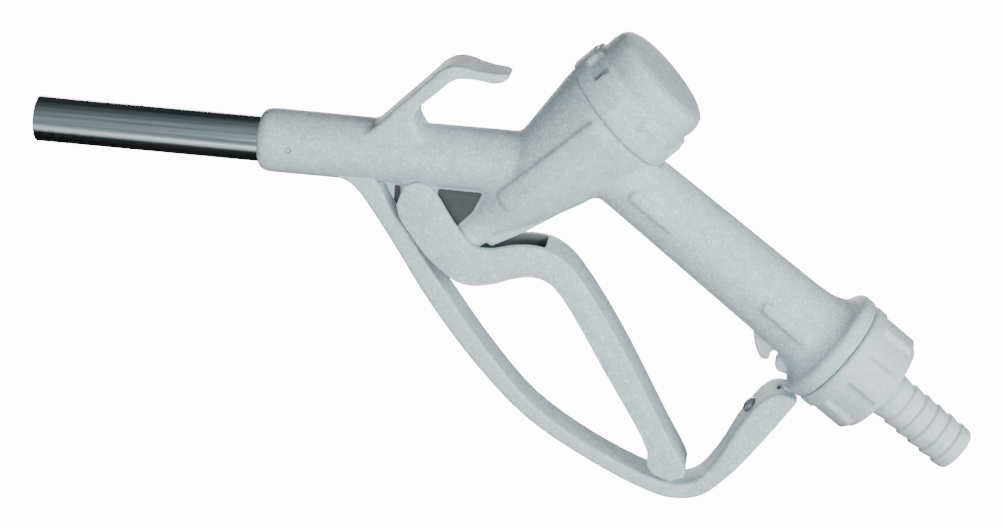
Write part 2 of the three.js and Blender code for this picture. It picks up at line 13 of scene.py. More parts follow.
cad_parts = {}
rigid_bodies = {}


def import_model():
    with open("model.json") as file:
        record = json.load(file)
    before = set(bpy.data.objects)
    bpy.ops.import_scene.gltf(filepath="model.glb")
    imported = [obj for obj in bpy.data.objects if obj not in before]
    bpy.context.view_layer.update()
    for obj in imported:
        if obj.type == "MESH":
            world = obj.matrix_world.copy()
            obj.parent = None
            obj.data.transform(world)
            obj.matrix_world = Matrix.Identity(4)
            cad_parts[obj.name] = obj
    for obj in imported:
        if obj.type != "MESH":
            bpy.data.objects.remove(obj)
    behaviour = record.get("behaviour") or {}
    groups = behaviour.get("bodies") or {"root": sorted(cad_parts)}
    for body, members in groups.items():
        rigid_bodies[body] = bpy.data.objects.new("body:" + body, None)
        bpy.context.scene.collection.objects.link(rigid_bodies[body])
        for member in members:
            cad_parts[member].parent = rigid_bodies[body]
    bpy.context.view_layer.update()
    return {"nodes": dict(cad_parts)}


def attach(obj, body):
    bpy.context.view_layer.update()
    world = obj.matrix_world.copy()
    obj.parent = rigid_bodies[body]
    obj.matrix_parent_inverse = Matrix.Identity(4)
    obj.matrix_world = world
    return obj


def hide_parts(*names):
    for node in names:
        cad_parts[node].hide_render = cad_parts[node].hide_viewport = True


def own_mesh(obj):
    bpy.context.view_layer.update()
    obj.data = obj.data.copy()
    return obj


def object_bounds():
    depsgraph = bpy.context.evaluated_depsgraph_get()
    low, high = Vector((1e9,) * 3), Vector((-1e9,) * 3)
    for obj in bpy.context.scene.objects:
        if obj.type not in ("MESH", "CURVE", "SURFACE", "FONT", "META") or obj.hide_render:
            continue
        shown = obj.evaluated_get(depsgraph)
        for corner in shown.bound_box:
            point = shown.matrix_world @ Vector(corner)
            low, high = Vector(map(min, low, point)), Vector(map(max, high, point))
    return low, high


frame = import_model()

# %% [markdown]
# The nozzle is drawn in millimetres on a side view whose zero is the mouth of the spout's sleeve.
# Three straight axes carry every turned shape: the spout's, the valve's and the grip's.
# Naming them once keeps every later size readable.

# %% Drawing frame and axes
MM = 0.001
TAIL_END = Vector((297.4214, 0, -106.7326))


def at(x, z, y=0.0):
    """Place of a drawing point, in metres."""
    return (Vector((x, y, z)) - TAIL_END) * MM


SPOUT = (0, 0, 0.0)
VALVE = (122, 0, math.pi / 4)
GRIP = (134, 12, math.radians(-36))
SCREW = (211, -95.8, math.radians(-32))


def on(axis, along, off=0.0):
    """Drawing point at a station of an axis, and off to its upper side."""
    x, z, turn = axis
    level, rise = math.cos(turn), math.sin(turn)
    return (x + along * level - off * rise, z + along * rise + off * level)


def direction(axis):
    """Unit vector along an axis."""
    return Vector((math.cos(axis[2]), 0, math.sin(axis[2])))


def arc(centre, radius, first, last, step):
    """Drawing points round a centre, at angles in whole degrees."""
    x, z = centre
    return [(x + radius * math.cos(math.radians(a)), z + radius * math.sin(math.radians(a)))
            for a in range(first, last, step)]


TAIL_STATION = 202
print("hose end at", tuple(round(c, 4) for c in at(*on(GRIP, TAIL_STATION))))

# %% [markdown]
# By hand, a section is drawn by placing one point and extruding it along its edge.
# This helper does the same: a plane is merged to one point, and each next point is extruded from the last.

# %% Draw a chain of points
def chain(name, points, closed):
    """A new piece, left in edit mode, with its points joined in a row or, if closed, filled."""
    bpy.ops.object.select_all(action="DESELECT")
    bpy.ops.mesh.primitive_plane_add(size=MM, location=(0, 0, 0))
    piece = bpy.context.object
    piece.name = piece.data.name = name
    bpy.ops.object.mode_set(mode="EDIT")
    bpy.ops.mesh.merge(type="CENTER")
    bpy.ops.transform.translate(value=points[0])
    for here, there in zip(points, points[1:]):
        bpy.ops.mesh.extrude_region_move(TRANSFORM_OT_translate={"value": there - here})
    bpy.ops.mesh.select_all(action="SELECT")
    if closed:
        bpy.ops.mesh.edge_face_add()
    return piece


def tidy_mesh(piece):
    """Merges doubles and turns every face outwards, then leaves edit mode."""
    bpy.ops.mesh.select_all(action="SELECT")
    bpy.ops.mesh.remove_doubles(threshold=1e-6)
    bpy.ops.mesh.normals_make_consistent(inside=False)
    bpy.ops.object.mode_set(mode="OBJECT")
    return piece


# %% [markdown]
# Turned shapes, such as the tube, the grip or the tail, are a half section spun round its axis.
# Spinning in many steps gives truly round walls, which a few flat sides would not.

# %% Spin a section
def turned(name, axis, section, steps=96):
    points = [at(*on(axis, along, radius)) for radius, along in section]
    piece = chain(name, points, closed=False)
    bpy.ops.mesh.spin(steps=steps, angle=2 * math.pi, center=at(*on(axis, 0)), axis=direction(axis))
    return tidy_mesh(piece)


# %% [markdown]
# Flat moulded shapes, such as the hook or the lever, are a side view pushed out to both sides.
# Their corners are eased in the side view and the long edges get a bevel, as a mould cutter leaves them.

# %% Draw smooth and rounded side views
def flowing(points, per=4):
    """A smooth row of points through the given ones."""
    row = [Vector(p) for p in points]
    row = [2 * row[0] - row[1]] + row + [2 * row[-1] - row[-2]]
    out = []
    for a, b, c, d in zip(row, row[1:], row[2:], row[3:]):
        s, t, u = ((q - p).length ** 0.5 for p, q in ((a, b), (b, c), (c, d)))
        leave = ((b - a) / s - (c - a) / (s + t) + (c - b) / t) * t / 3
        arrive = ((c - b) / t - (d - b) / (t + u) + (d - c) / u) * t / 3
        out += [tuple(p) for p in interpolate_bezier(b, b + leave, c - arrive, c, per + 1)[:-1]]
    return out + [tuple(row[-2])]


def eased(corners, steps=6):
    """A closed outline whose corners (x, z, radius) are rounded off."""
    out = []
    for i, (x, z, radius) in enumerate(corners):
        here = Vector((x, z))
        back = Vector(corners[i - 1][:2]) - here
        ahead = Vector(corners[(i + 1) % len(corners)][:2]) - here
        if not radius:
            out.append((x, z))
            continue
        reach = min(radius / math.tan(back.angle(ahead) / 2), 0.45 * back.length, 0.45 * ahead.length)
        start, end = here + back.normalized() * reach, here + ahead.normalized() * reach
        for s in range(steps + 1):
            t = s / steps
            out.append(tuple(start * (1 - t) ** 2 + here * 2 * t * (1 - t) + end * t ** 2))
    return out


# %% [markdown]
# A filled side view is a flat face. Extruding it sideways gives a slab with true, square sides.
# Only edges sharper than 50 degrees get the bevel, so that curved stretches stay smooth.

# %% Push a side view out to both sides
SHARP_EDGE = math.radians(50)


def block(name, outline, half, edge=0.0, low=None):
    """A slab from the side view, out to half on both sides, or from low to half."""
    low = -half if low is None else low
    piece = chain(name, [at(x, z, low) for x, z in outline], closed=True)
    bpy.ops.mesh.extrude_region_move(TRANSFORM_OT_translate={"value": (0, (half - low) * MM, 0)})
    tidy_mesh(piece)
    if edge:
        bevel = piece.modifiers.new("edges", "BEVEL")
        bevel.width, bevel.segments, bevel.limit_method = edge * MM, 3, "ANGLE"
        bevel.angle_limit = SHARP_EDGE
        bpy.ops.object.modifier_apply(modifier=bevel.name)
    return piece


# %% [markdown]
# Grips for the hand, such as on the cap and the nut, are rings of wide raised pads.
# One ring outline is drawn around the axis and pushed along it.

# %% Push a ring of pads along an axis
def padded_ring(name, axis, count, crest, recess, share, start, end, turn, flank=3.0):
    """Pads of radius crest with recesses between them; share is how much of the ring the pads take."""
    points, pitch, flank = [], 2 * math.pi / count, math.radians(flank)
    pad = pitch * share
    for i in range(count):
        first = turn + i * pitch
        steps = [(flank + (pad - 2 * flank) * s / 4, crest) for s in range(5)]
        steps += [(pad + flank + (pitch - pad - 2 * flank) * s / 4, recess) for s in range(5)]
        for angle, radius in steps:
            x, z = on(axis, start, radius * math.cos(first + angle))
            points.append(at(x, z, -radius * math.sin(first + angle)))
    piece = chain(name, points, closed=True)
    bpy.ops.mesh.extrude_region_move(TRANSFORM_OT_translate={"value": direction(axis) * (end - start) * MM})
    return tidy_mesh(piece)


# %% [markdown]
# A moulding has no sharp inner corners. After its shapes are joined, a voxel remesh makes them one skin,
# and a few rounds of smoothing turn each corner into a small fillet. Bores are cut last and stay crisp.

# %% Join, fuse and cut
def joined(name, *parts):
    bpy.ops.object.select_all(action="DESELECT")
    for part in parts:
        part.select_set(True)
    bpy.context.view_layer.objects.active = parts[0]
    bpy.ops.object.join()
    parts[0].name = parts[0].data.name = name
    return parts[0]


def only(piece):
    """Makes the piece the only selected and the active one."""
    bpy.ops.object.select_all(action="DESELECT")
    piece.select_set(True)
    bpy.context.view_layer.objects.active = piece


def smoothed(piece, rounds, group=""):
    """Small fillets, all over or only where a vertex group says."""
    only(piece)
    smooth = piece.modifiers.new("fillets", "SMOOTH")
    smooth.factor, smooth.iterations, smooth.vertex_group = 0.5, rounds, group
    bpy.ops.object.modifier_apply(modifier=smooth.name)


def fused(piece, voxel, rounds):
    """One skin over all that the piece is made of, with small fillets if rounds is above 0."""
    only(piece)
    remesh = piece.modifiers.new("one_skin", "REMESH")
    remesh.mode, remesh.voxel_size = "VOXEL", voxel * MM
    bpy.ops.object.modifier_apply(modifier=remesh.name)
    if rounds:
        smoothed(piece, rounds)


def soften(piece, spots, rounds):
    """Larger fillets around the given drawing spots (x, z, reach)."""
    group = piece.vertex_groups.new(name="soft")
    for vertex in piece.data.vertices:
        for x, z, reach in spots:
            away = vertex.co - at(x, z)
            away.y = 0
            weight = 1.5 - 1.5 * away.length / (reach * MM)
            if weight > 0:
                group.add([vertex.index], min(weight, 1), "ADD")
    smoothed(piece, rounds, group.name)
    piece.vertex_groups.clear()


def without(piece, *cutters):
    """Cuts each cutter's shape out of the piece, then deletes the cutter."""
    for cutter in cutters:
        only(piece)
        cut = piece.modifiers.new("cut", "BOOLEAN")
        cut.operation, cut.solver, cut.object = "DIFFERENCE", "EXACT", cutter
        bpy.ops.object.modifier_apply(modifier=cut.name)
        bpy.data.objects.remove(cutter)


# %% [markdown]
# A finished piece takes the place of its plain measured solid and moves with the same body. Shading turns
# smooth wherever two faces meet at less than the given angle, so real edges stay crisp.

# %% Hand a finished piece to its body
def hand_over(piece, body, node, material, angle=35):
    only(piece)
    bpy.ops.object.shade_smooth_by_angle(angle=math.radians(angle))
    piece.data.materials.clear()
    piece.data.materials.append(material)
    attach(piece, body)
    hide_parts(node)
    piece.data.calc_loop_triangles()
    size = [round(c * 1000, 1) for c in piece.dimensions]
    print(piece.name, "mm", size, "triangles", len(piece.data.loop_triangles))


# %% [markdown]
# The plastic is pale blue-grey and slightly uneven: cloudy patches a few millimetres wide and a fine
# salt-like grain left by the mould. Both come from noise, in a group that several finishes share.

# %% Shader group: cloudy grain
def wire(tree, a, b):
    tree.links.new(a, b)


def new_group(name, inputs, outputs):
    group = bpy.data.node_groups.new(name, "ShaderNodeTree")
    for label, kind, value in inputs:
        socket = group.interface.new_socket(label, in_out="INPUT", socket_type=kind)
        socket.default_value = value
    for label, kind in outputs:
        group.interface.new_socket(label, in_out="OUTPUT", socket_type=kind)
    return group, group.nodes.new("NodeGroupInput"), group.nodes.new("NodeGroupOutput")


def cloudy_grain():
    group, given, result = new_group("cloudy grain", [
        ("Main", "NodeSocketColor", (0.6, 0.65, 0.68, 1)),
        ("Patches", "NodeSocketColor", (0.55, 0.62, 0.64, 1)),
        ("Specks", "NodeSocketColor", (0.75, 0.8, 0.82, 1)),
        ("Patch scale", "NodeSocketFloat", 90.0),
        ("Grain scale", "NodeSocketFloat", 900.0),
    ], [("Color", "NodeSocketColor"), ("Roughness", "NodeSocketFloat"), ("Height", "NodeSocketFloat")])
    nodes = group.nodes
    place = nodes.new("ShaderNodeTexCoord")
    cloud = nodes.new("ShaderNodeTexNoise")
    grain = nodes.new("ShaderNodeTexNoise")
    wire(group, place.outputs["Object"], cloud.inputs["Vector"])
    wire(group, place.outputs["Object"], grain.inputs["Vector"])
    wire(group, given.outputs["Patch scale"], cloud.inputs["Scale"])
    wire(group, given.outputs["Grain scale"], grain.inputs["Scale"])
    cloud.inputs["Detail"].default_value = 3
    grain.inputs["Detail"].default_value = 2
    spread = nodes.new("ShaderNodeMapRange")
    spread.inputs["From Min"].default_value, spread.inputs["From Max"].default_value = 0.4, 0.62
    wire(group, cloud.outputs["Fac"], spread.inputs["Value"])
    patches = nodes.new("ShaderNodeMix")
    patches.data_type = "RGBA"
    wire(group, spread.outputs["Result"], patches.inputs["Factor"])
    wire(group, given.outputs["Main"], patches.inputs["A"])
    wire(group, given.outputs["Patches"], patches.inputs["B"])
    speck = nodes.new("ShaderNodeMapRange")
    speck.inputs["From Min"].default_value, speck.inputs["From Max"].default_value = 0.5, 0.72
    speck.inputs["To Max"].default_value = 1.0
    wire(group, grain.outputs["Fac"], speck.inputs["Value"])
    specks = nodes.new("ShaderNodeMix")
    specks.data_type = "RGBA"
    wire(group, speck.outputs["Result"], specks.inputs["Factor"])
    wire(group, patches.outputs["Result"], specks.inputs["A"])
    wire(group, given.outputs["Specks"], specks.inputs["B"])
    wire(group, specks.outputs["Result"], result.inputs["Color"])
    rough = nodes.new("ShaderNodeMapRange")
    rough.inputs["To Min"].default_value, rough.inputs["To Max"].default_value = 0.48, 0.66
    wire(group, grain.outputs["Fac"], rough.inputs["Value"])
    wire(group, rough.outputs["Result"], result.inputs["Roughness"])
    wire(group, grain.outputs["Fac"], result.inputs["Height"])
    return group


CLOUDY = cloudy_grain()
print("group sockets:", len(CLOUDY.interface.items_tree))

# %% [markdown]
# Narrow recesses, such as beside the web and inside the lever's fork, get painted shade.
# A group marks what lies inside a box, so that a finish can be darkened there without an image.

# %% Shader group: inside of a box
def inside_box():
    """1 deep inside a box around a point, fading to 0 at its walls."""
    group, given, result = new_group("inside of a box", [
        ("Centre", "NodeSocketVector", (0, 0, 0)),
        ("Half size", "NodeSocketVector", (0.01, 0.01, 0.01)),
        ("Fade", "NodeSocketFloat", 0.001),
    ], [("Inside", "NodeSocketFloat")])
    nodes = group.nodes
    place = nodes.new("ShaderNodeTexCoord")
    offset, size, room = (nodes.new("ShaderNodeVectorMath") for _ in range(3))
    offset.operation, size.operation, room.operation = "SUBTRACT", "ABSOLUTE", "SUBTRACT"
    wire(group, place.outputs["Object"], offset.inputs[0])
    wire(group, given.outputs["Centre"], offset.inputs[1])
    wire(group, offset.outputs["Vector"], size.inputs[0])
    wire(group, given.outputs["Half size"], room.inputs[0])
    wire(group, size.outputs["Vector"], room.inputs[1])
    apart = nodes.new("ShaderNodeSeparateXYZ")
    wire(group, room.outputs["Vector"], apart.inputs["Vector"])
    least, nearest = nodes.new("ShaderNodeMath"), nodes.new("ShaderNodeMath")
    least.operation = nearest.operation = "MINIMUM"
    wire(group, apart.outputs["X"], least.inputs[0])
    wire(group, apart.outputs["Y"], least.inputs[1])
    wire(group, least.outputs["Value"], nearest.inputs[0])
    wire(group, apart.outputs["Z"], nearest.inputs[1])
    fade = nodes.new("ShaderNodeMapRange")
    wire(group, nearest.outputs["Value"], fade.inputs["Value"])
    wire(group, given.outputs["Fade"], fade.inputs["From Max"])
    wire(group, fade.outputs["Result"], result.inputs["Inside"])
    return group


INSIDE_BOX = inside_box()
print("box group sockets:", len(INSIDE_BOX.interface.items_tree))

# %% [markdown]
# All plastic and rubber pieces share one recipe: the grain colours the surface, varies its roughness and
# drives a shallow bump. The colours differ, the rubber's grain is finer, and the body's and the lever's
# finishes also darken one recess each.

# %% Moulded finishes
def new_material(name):
    material = bpy.data.materials.new(name)
    material.use_nodes = True
    return material, material.node_tree, material.node_tree.nodes["Principled BSDF"]


def bumped(tree, height, surface, distance, strength=1.0):
    bump = tree.nodes.new("ShaderNodeBump")
    bump.inputs["Distance"].default_value = distance * MM
    bump.inputs["Strength"].default_value = strength
    wire(tree, height, bump.inputs["Height"])
    wire(tree, bump.outputs["Normal"], surface.inputs["Normal"])


def painted_recess_shade(tree, color, low, high, fade, shade_color):
    """Darkens what lies in a box with painted shade, where light hardly reaches."""
    inside = tree.nodes.new("ShaderNodeGroup")
    inside.node_tree = INSIDE_BOX
    inside.inputs["Centre"].default_value = (low + high) / 2
    inside.inputs["Half size"].default_value = (high - low) / 2
    inside.inputs["Fade"].default_value = fade * MM
    # The mix lays the painted shade colour over whatever lies inside the box.
    mix = tree.nodes.new("ShaderNodeMix")
    mix.data_type = "RGBA"
    mix.inputs["B"].default_value = (*shade_color, 1)
    wire(tree, inside.outputs["Inside"], mix.inputs["Factor"])
    wire(tree, color, mix.inputs["A"])
    return mix.outputs["Result"]


def moulded(name, main, patches, specks, patch_scale=230.0, grain_scale=900.0, bump=0.05, recess=None):
    material, tree, surface = new_material(name)
    grain = tree.nodes.new("ShaderNodeGroup")
    grain.node_tree = CLOUDY
    for label, value in (("Main", main), ("Patches", patches), ("Specks", specks)):
        grain.inputs[label].default_value = (*value, 1)
    grain.inputs["Patch scale"].default_value = patch_scale
    grain.inputs["Grain scale"].default_value = grain_scale
    color = grain.outputs["Color"]
    # A recess, if given, is darkened with painted shade.
    if recess:
        color = painted_recess_shade(tree, color, *recess)
    wire(tree, color, surface.inputs["Base Color"])
    wire(tree, grain.outputs["Roughness"], surface.inputs["Roughness"])
    bumped(tree, grain.outputs["Height"], surface, bump)
    return material


PALE = ((0.54, 0.67, 0.72), (0.45, 0.595, 0.63), (0.78, 0.91, 0.94))
PALE_PLASTIC = moulded("pale moulded plastic", *PALE)
# The body's finish paints near-black shade beside the web, and the lever's paints grey shade inside its
# fork.
BODY_PLASTIC = moulded("pale body plastic", *PALE,
                       recess=(at(57, -40, -4), at(99, -9.5, 4), 0.3, (0.035, 0.042, 0.045)))
LEVER_PLASTIC = moulded("pale lever plastic", *PALE,
                        recess=(at(70, -46.5, -8), at(121, -8, 8), 0.2, (0.16, 0.2, 0.2)))
HOSE_END_PLASTIC = moulded("pale hose end plastic",
                           (0.6, 0.7, 0.74), (0.54, 0.655, 0.69), (0.74, 0.83, 0.86))
PIN_PLASTIC = moulded("pale pin plastic",
                      (0.52, 0.58, 0.6), (0.48, 0.55, 0.57), (0.6, 0.65, 0.67))
NATURAL_PLASTIC = moulded("natural engineering plastic",
                          (0.72, 0.70, 0.62), (0.66, 0.64, 0.56), (0.8, 0.79, 0.72))
BLACK_RUBBER = moulded("black moulded rubber",
                       (0.018, 0.018, 0.02), (0.03, 0.03, 0.032), (0.05, 0.05, 0.055),
                       patch_scale=200.0, grain_scale=1500.0)
print("moulded finishes:", [m.name for m in bpy.data.materials][-7:])

# %% [markdown]
# The spout is drawn stainless tube. Drawing leaves fine lines along it, which streak every reflection,
# and fuel leaves dark smudges under the tip. Stretching noise along the tube makes the lines.

# %% Steel finishes
def steel(name, tint, stretch, roughness, smudged=False, line_scale=700.0, bump=0.02):
    material, tree, surface = new_material(name)
    nodes = tree.nodes
    place = nodes.new("ShaderNodeTexCoord")
    along = nodes.new("ShaderNodeMapping")
    along.inputs["Scale"].default_value = stretch
    lines = nodes.new("ShaderNodeTexNoise")
    lines.inputs["Scale"].default_value, lines.inputs["Detail"].default_value = line_scale, 3
    wire(tree, place.outputs["Object"], along.inputs["Vector"])
    wire(tree, along.outputs["Vector"], lines.inputs["Vector"])
    shades = nodes.new("ShaderNodeValToRGB")
    shades.color_ramp.elements[0].position, shades.color_ramp.elements[1].position = 0.36, 0.66
    shades.color_ramp.elements[0].color = (*(0.55 * c for c in tint), 1)
    shades.color_ramp.elements[1].color = (*tint, 1)
    wire(tree, lines.outputs["Fac"], shades.inputs["Fac"])
    color = shades.outputs["Color"]
    if smudged:
        color = smudges(tree, place, color)
    wire(tree, color, surface.inputs["Base Color"])
    rough = nodes.new("ShaderNodeMapRange")
    rough.inputs["To Min"].default_value, rough.inputs["To Max"].default_value = roughness
    wire(tree, lines.outputs["Fac"], rough.inputs["Value"])
    wire(tree, rough.outputs["Result"], surface.inputs["Roughness"])
    surface.inputs["Metallic"].default_value = 1.0
    bumped(tree, lines.outputs["Fac"], surface, bump)
    return material


def smudges(tree, place, color):
    """Dark patches under the tip of the spout, fading towards the sleeve."""
    nodes = tree.nodes
    tip = at(-94.5, 0)
    apart = nodes.new("ShaderNodeSeparateXYZ")
    wire(tree, place.outputs["Object"], apart.inputs["Vector"])
    masks = []
    for axis, near, far in (("X", tip.x, tip.x + 0.05), ("Z", tip.z - 0.0085, tip.z - 0.0005)):
        fade = nodes.new("ShaderNodeMapRange")
        fade.inputs["From Min"].default_value, fade.inputs["From Max"].default_value = near, far
        fade.inputs["To Min"].default_value, fade.inputs["To Max"].default_value = 1, 0
        wire(tree, apart.outputs[axis], fade.inputs["Value"])
        masks.append(fade.outputs["Result"])
    blots = nodes.new("ShaderNodeTexNoise")
    blots.inputs["Scale"].default_value, blots.inputs["Detail"].default_value = 260, 4
    wire(tree, place.outputs["Object"], blots.inputs["Vector"])
    sharp = nodes.new("ShaderNodeMapRange")
    sharp.inputs["From Min"].default_value, sharp.inputs["From Max"].default_value = 0.42, 0.56
    wire(tree, blots.outputs["Fac"], sharp.inputs["Value"])
    value = sharp.outputs["Result"]
    for mask in masks:
        times = nodes.new("ShaderNodeMath")
        times.operation = "MULTIPLY"
        wire(tree, value, times.inputs[0])
        wire(tree, mask, times.inputs[1])
        value = times.outputs["Value"]
    mix = nodes.new("ShaderNodeMix")
    mix.data_type = "RGBA"
    mix.inputs["B"].default_value = (0.02, 0.024, 0.025, 1)
    wire(tree, value, mix.inputs["Factor"])
    wire(tree, color, mix.inputs["A"])
    return mix.outputs["Result"]


DRAWN_STEEL = steel("drawn stainless tube", (0.58, 0.7, 0.73), (0.012, 1, 1), (0.14, 0.26), smudged=True)
TURNED_STEEL = steel("turned stainless", (0.6, 0.62, 0.63), (1, 1, 1), (0.25, 0.4), line_scale=1500.0)
SPRING_STEEL = steel("spring wire", (0.35, 0.36, 0.38), (1, 1, 1), (0.3, 0.5), line_scale=900.0)
STRAINER_STEEL = steel("strainer sheet", (0.5, 0.51, 0.52), (1, 1, 1), (0.3, 0.5), line_scale=1200.0)
print("steel finishes:", [m.name for m in bpy.data.materials][-4:])

# %% [markdown]
# The body is one moulding: a straight tube, the conical valve housing that crosses it at 45 degrees,
# and the round grip that falls away at 36 degrees to an end ring. Each is turned on its own axis.

# %% Body: tube, housing and grip
HOUSING_SECTION = [
    (0, -50.3), (4.2, -50.3), (6.2, -49.4), (7.2, -47.4), (7.4, -38), (10, -30), (13.2, -22), (17, -10),
    (19.6, 0), (21.6, 11), (24.4, 26), (25.2, 30.5), (25.2, 33.5), (0, 33.5),
]
GRIP_SECTION = [
    (0, 0), (14.5, 0), (14.5, 30), (15.9, 112), (16.6, 120), (18.4, 125), (21.2, 127.8), (24, 129),
    (25, 130.4), (25, 135.2), (24.2, 136), (17, 136), (17, 146), (0, 146),
]
tube = turned("tube", SPOUT, [
    (0, 0), (9.8, 0), (11.2, 0.5), (12.4, 1.6), (13.1, 3.4), (13.3, 6), (13.2, 40), (12.9, 70), (13.1, 116),
    (0, 116),
])
housing = turned("housing", VALVE, HOUSING_SECTION)
grip = turned("grip", GRIP, GRIP_SECTION)
print("turned body shapes:", [len(o.data.polygons) for o in (tube, housing, grip)])

# %% [markdown]
# A flat hook on top hangs the nozzle up. Under the body are a narrow rib, the web and lug that carry the
# lever's pin, two hooked teeth, and a tongue for the guard's screw.

# %% Body: hook, ribs, lug, teeth and tongue
HOOK_HALF, HOOK_TIP_HALF, HOOK_TAPER_START, HOOK_TAPER = 11, 6, 86, 19
RIB_HALF, WEB_HALF, LUG_HALF, LUG_RADIUS, TOOTH_HALF, TONGUE_HALF = 4.2, 3.6, 7.1, 6.6, 4.5, 2.8
PIVOT = (67.5, -18.5)
HOOK_EDGE = [
    (40, 2), (46, 9.6), (53.2, 16.8), (66, 29.6), (70.8, 34.6), (74, 38), (77.6, 40.2), (81, 40.9),
    (85, 40.5), (90, 39.2), (95, 38.6), (99.4, 38.4), (101.8, 37.9), (102.3, 36.8), (100.8, 35.3),
    (98, 34.1), (95.4, 34), (90, 35.1), (85.5, 35.6), (81.7, 35.2), (78.9, 33.8), (75.3, 30.4),
    (71.6, 26.9), (68, 23.4), (65.6, 20.4), (64.8, 17.4), (65.6, 14.6), (67.4, 12.4), (68.4, 8), (68.4, 2),
]
hook = block("hook", flowing(HOOK_EDGE, 3), HOOK_HALF, edge=0.8)
for vertex in hook.data.vertices:
    share = min(max((vertex.co.x - at(HOOK_TAPER_START, 0).x) / (HOOK_TAPER * MM), 0), 1)
    vertex.co.y *= 1 - (HOOK_HALF - HOOK_TIP_HALF) / HOOK_HALF * share
rib = block("rib", [
    (95, -30), (98, -36.4), (112.2, -28.6), (123.5, -21), (132.8, -14.2), (137.5, -11.8), (144, -10),
    (118, -10),
], RIB_HALF)
web = block("web", [
    (51.4, -8), (53.4, -14), (56.4, -19.4), (59.6, -23.2), (66, -26), (72, -26.4), (78, -28.6),
    (83.2, -31.8), (96, -20), (100, -8),
], WEB_HALF)
lug = block("lug", [
    (PIVOT[0] - LUG_RADIUS, -8), *arc(PIVOT, LUG_RADIUS, 180, 361, 15), (PIVOT[0] + LUG_RADIUS, -8),
], LUG_HALF, edge=0.5)
front_tooth = block("front_tooth", flowing([on(GRIP, *p) for p in (
    (103, -13), (105.5, -17), (110, -20.6), (114.6, -22.4), (117, -20.6), (115.6, -18), (114.8, -13),
)]), TOOTH_HALF, edge=1.2)
rear_tooth = block("rear_tooth", flowing([on(GRIP, *p) for p in (
    (118.6, -13), (119.2, -17), (120, -20.4), (122.4, -22), (125.8, -21.2), (127.4, -17), (127, -13),
)]), TOOTH_HALF, edge=1.2)
tongue = block("tongue", [
    on(GRIP, 130, -14), on(GRIP, 135.6, -14), on(GRIP, 135.6, -26), (220.4, -101.5), (215.2, -97.5),
], TONGUE_HALF)
print("under and over the body:", [o.name for o in (hook, rib, web, lug, front_tooth, rear_tooth, tongue)])

# %% [markdown]
# Shallow raised areas stiffen the sides: a long panel on the housing, and a short bar at each end of the
# grip. They are slices of a slightly fatter copy of the same turned shape, so each stands proud by the
# same height all over.

# %% Body: raised panel and bars
def raised(name, axis, section, by, outline, edge_radius):
    """The part of a fatter copy of a turned shape that shows through a window in the side view."""
    shell = turned(name, axis, [(r + by if r else 0, s) for r, s in section])
    only(shell)
    keep = shell.modifiers.new("keep", "BOOLEAN")
    window = block("window", eased([(*on(axis, *p), edge_radius) for p in outline]), 40)
    keep.operation, keep.solver, keep.object = "INTERSECT", "EXACT", window
    only(shell)
    bpy.ops.object.modifier_apply(modifier=keep.name)
    bpy.data.objects.remove(window)
    return shell


GRIP_SIDE = GRIP_SECTION[:6] + [(0, 125)]
PANEL_HEIGHT, BAR_HEIGHT = 1.8, 2.0


def bar(name, start, end):
    """A short raised bar on both sides of the grip."""
    window = [(start, -3.2), (end, -3.2), (end, 1.8), (start, 1.8)]
    return raised(name, GRIP, GRIP_SIDE, BAR_HEIGHT, window, 1.5)


panel = raised("panel", VALVE, HOUSING_SECTION, PANEL_HEIGHT, [(-24, -1), (31, -1.2), (31, 8), (-24, 8)], 3)
upper_bar = bar("upper_bar", 27, 49.5)
lower_bar = bar("lower_bar", 97.5, 120)
print("raised:", [len(o.data.polygons) for o in (panel, upper_bar, lower_bar)])

# %% [markdown]
# The order matters. The shapes are fused first, then the rooms for the cap and the lever's cheeks are cut
# and the skin is fused again, so their edges get fillets too. The corners with the largest fillets are
# smoothed many more times than the rest.

# %% Body: fuse and cut
CHEEK_ROOM_RADIUS, CHEEK_INNER, CHEEK_OUTER = 10.2, 7.3, 17.3
LARGE_FILLETS = [
    (108, 13.5, 10), (164, 6, 7), (141, -11, 9), (50, 13, 8), (67, 14, 6), (99, -13, 6), (226, -74, 6),
    (241, -52, 6),
]
body = joined("body_moulding", tube, housing, grip, hook, rib, web, lug, front_tooth, rear_tooth, tongue,
              panel, upper_bar, lower_bar)
fused(body, voxel=0.8, rounds=0)
cap_room = turned("cap_room", VALVE, [(0, 33.5), (27.4, 33.5), (27.4, 74), (0, 74)], 64)
cheek_outline = arc(PIVOT, CHEEK_ROOM_RADIUS, 0, 360, 10)
cheek_rooms = [block("cheek_room", cheek_outline, high, low=low)
               for low, high in ((CHEEK_INNER, CHEEK_OUTER), (-CHEEK_OUTER, -CHEEK_INNER))]
without(body, cap_room, *cheek_rooms)
fused(body, voxel=0.75, rounds=2)
soften(body, LARGE_FILLETS, rounds=36)
print("body fused, faces:", len(body.data.polygons))

# %% [markdown]
# In a mould, round steel cores could leave the bores, crisp and true to size, so here they are cut last and
# stay sharp: one for the spout, a stepped one for the valve, one through the grip, and a small one in
# front for the spout's lock pin.

# %% Body: bores
spout_bore = turned("spout_bore", SPOUT, [
    (0, -5), (9.8, -5), (9.8, 26), (7.8, 26), (7.8, 122), (0, 122),
], 64)
valve_bore = turned("valve_bore", VALVE, [
    (0, -56), (6, -56), (6, -13), (9.4, -13), (9.4, 5), (10.5, 5), (10.5, 8), (12.2, 8), (12.2, 7.2),
    (15.5, 7.2), (15.5, 8), (17.5, 8), (17.5, 39), (0, 39),
], 64)
grip_bore = turned("grip_bore", GRIP, [(0, 12), (8.2, 12), (8.2, 96), (10.6, 98), (10.6, 151), (0, 151)], 64)
bpy.ops.mesh.primitive_cylinder_add(vertices=32, radius=1.35 * MM, depth=12 * MM, location=at(14, 0, -14),
                                    rotation=(math.pi / 2, 0, 0))
lock_hole = bpy.context.object
without(body, spout_bore, valve_bore, grip_bore, lock_hole)
hand_over(body, "body", "nozzle_body", BODY_PLASTIC)

